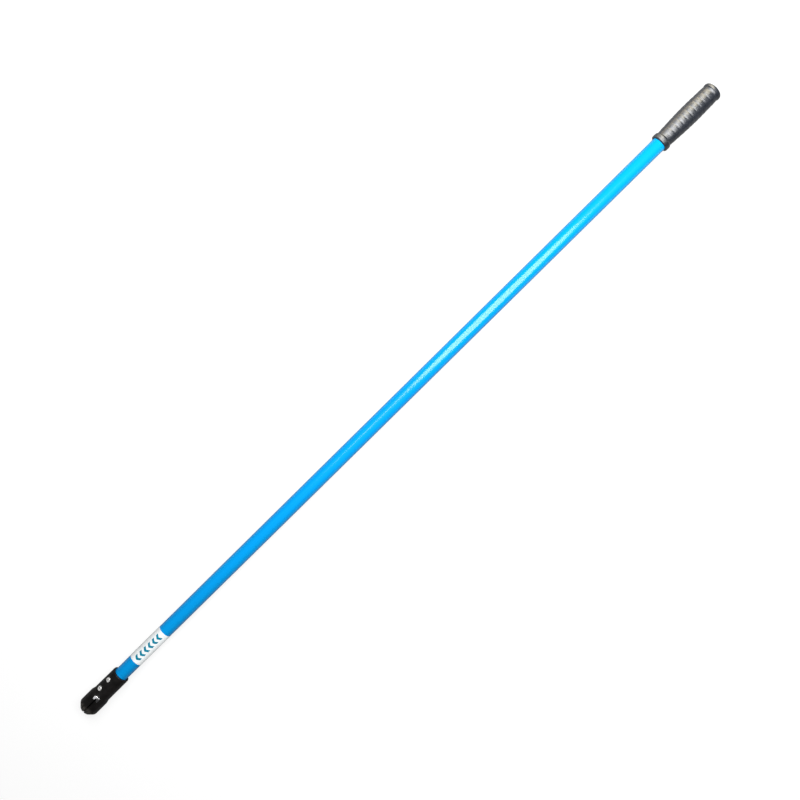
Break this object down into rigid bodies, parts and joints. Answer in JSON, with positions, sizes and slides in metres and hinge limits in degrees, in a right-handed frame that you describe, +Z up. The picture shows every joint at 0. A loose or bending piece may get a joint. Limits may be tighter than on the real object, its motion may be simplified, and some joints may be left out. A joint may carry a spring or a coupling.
{
  "type": "quick-connect extension pole",
  "caption": "Fixed-length glossy blue fibreglass pole with a riveted black quick-connect nose, sprung steel catch and ringed charcoal hand grip",
  "frame": {"origin": "on the surface the pole lies on, under the middle of its length and width", "axes": "+X along the pole towards the hand grip, -X towards the quick-connect nose, +Z up through the steel catch"},
  "size_m": [1.524, 0.0364, 0.0377],
  "materials": {
    "pole_blue": "glossy pultruded fibreglass, azure, faint lengthwise fibre streaks",
    "connector_nylon": "satin moulded nylon, fine spark texture",
    "sleeve_aluminium": "mill finish",
    "plug_plastic": "natural polyethylene",
    "rivet_aluminium": "bright, lightly burnished",
    "rivet_steel": "zinc plated, snapped end",
    "catch_steel": "bright nickel plate",
    "spring_steel": "blued spring steel",
    "grip_vinyl": "semi-gloss charcoal vinyl",
    "label_film": "white film, plain teal arrow pattern"
  },
  "bodies": {
    "pole": {"pole_tube": "pole_blue", "connector_shell": "connector_nylon", "backing_sleeve": "sleeve_aluminium", "bottom_seal_plug": "plug_plastic", "top_plug": "plug_plastic", "rivet_body_front": "rivet_aluminium", "rivet_body_rear": "rivet_aluminium", "rivet_body_front_under": "rivet_aluminium", "rivet_body_rear_under": "rivet_aluminium", "rivet_stem_front": "rivet_steel", "rivet_stem_rear": "rivet_steel", "rivet_stem_front_under": "rivet_steel", "rivet_stem_rear_under": "rivet_steel", "catch_spring": "spring_steel", "hand_grip": "grip_vinyl", "label_wrap": "label_film"},
    "catch": {"snap_catch": "catch_steel", "catch_washer": "spring_steel"}
  },
  "joints": [
    {"name": "catch_press", "type": "slide", "parent": "pole", "child": "catch", "axis": [0, 0, -1], "range_m": [0, 0.0025], "stiffness_N_per_m": 2000, "springref_m": -0.002, "deforming": ["catch_spring"]}
  ]
}
